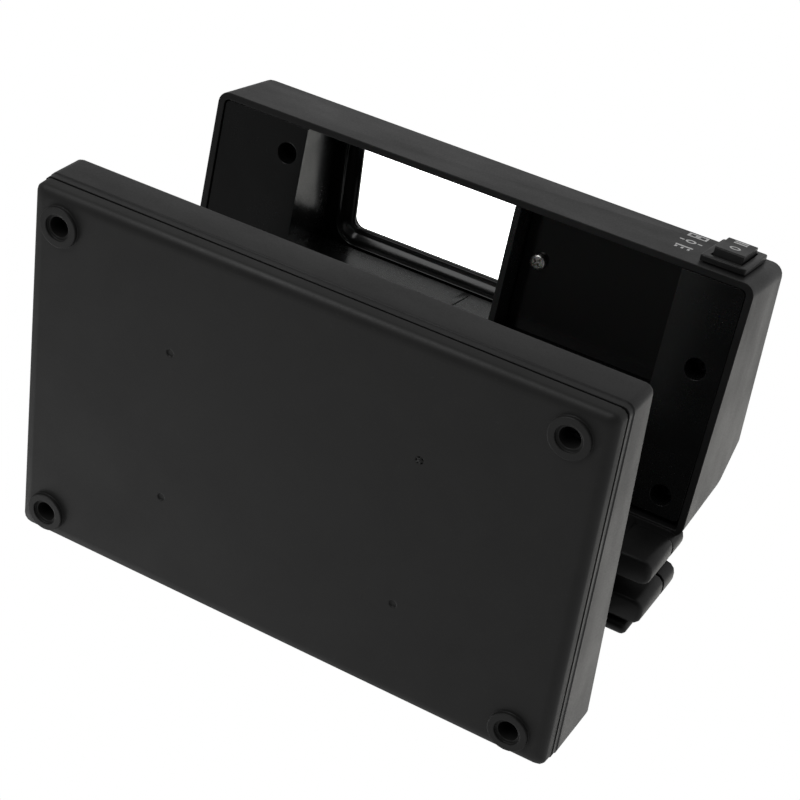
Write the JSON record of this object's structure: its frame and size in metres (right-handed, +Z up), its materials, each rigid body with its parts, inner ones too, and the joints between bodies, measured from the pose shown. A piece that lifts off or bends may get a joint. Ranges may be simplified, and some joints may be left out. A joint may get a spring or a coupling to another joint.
{
  "type": "counterfeit bill detector",
  "caption": "Desktop counterfeit bill detector: flat lamp base on ring feet, ribbed rear neck, tilted hood with magnifier window and rocker switch.",
  "frame": {"origin": "centre of the base on the plane its ring feet stand on", "axes": "+X to the user's right, -Y towards the user, +Z up"},
  "size_m": [0.191, 0.1243, 0.1307],
  "materials": {
    "black_shell": "fine satin texture, near black",
    "black_gloss": "polished black",
    "opal": "opal acrylic, light diffusing",
    "clear": "clear acrylic magnifier",
    "tube_white": "phosphor coated glass",
    "tube_violet": "dark violet filter glass",
    "alloy": "rolled",
    "steel": "zinc plated",
    "white_sheet": "white enamel",
    "holder_white": "moulded white",
    "ballast_grey": "potted case",
    "brass": "plated blade",
    "rubber": "soft black",
    "switch_black": "smooth black"
  },
  "bodies": {
    "housing": {"base_ballast": "ballast_grey", "base_bottom_cover": "black_shell", "base_diffuser": "opal", "base_lamp_cap_left": "alloy", "base_lamp_cap_right": "alloy", "base_lamp_holder_left": "holder_white", "base_lamp_holder_right": "holder_white", "base_lamp_tube": "tube_white", "base_reflector": "white_sheet", "base_screw_1": "steel", "base_screw_2": "steel", "base_screw_3": "steel", "base_screw_4": "steel", "base_terminal_block": "holder_white", "base_top_shell": "black_shell", "cord_gland": "rubber", "hood_screw_1": "steel", "hood_screw_2": "steel", "hood_screw_3": "steel", "hood_screw_4": "steel", "hood_shell": "black_shell", "hood_underside_pan": "black_shell", "lens_frame": "black_gloss", "magnifier_lens": "clear", "neck_base_screw_1": "steel", "neck_base_screw_2": "steel", "neck_cover_screw_1": "steel", "neck_cover_screw_2": "steel", "neck_cover_screw_3": "steel", "neck_cover_screw_4": "steel", "neck_front_shell": "black_shell", "neck_hood_screw_1": "steel", "neck_hood_screw_2": "steel", "neck_rear_cover": "black_shell", "supply_cover_plate": "black_gloss", "supply_cover_screw": "steel", "switch_body": "switch_black", "switch_terminal_1": "brass", "switch_terminal_2": "brass", "switch_terminal_3": "brass", "uv_ballast": "ballast_grey", "uv_lamp_cap_left": "alloy", "uv_lamp_cap_right": "alloy", "uv_lamp_holder_left": "holder_white", "uv_lamp_holder_right": "holder_white", "uv_lamp_tube": "tube_violet", "uv_reflector": "alloy"},
    "rocker": {"switch_rocker": "switch_black"}
  },
  "joints": [
    {"name": "rocker_pivot", "type": "hinge", "parent": "housing", "child": "rocker", "pos_m": [0.0825, -0.05498, 0.11475], "axis": [1, 0, 0], "range_deg": [-10, 10]}
  ]
}
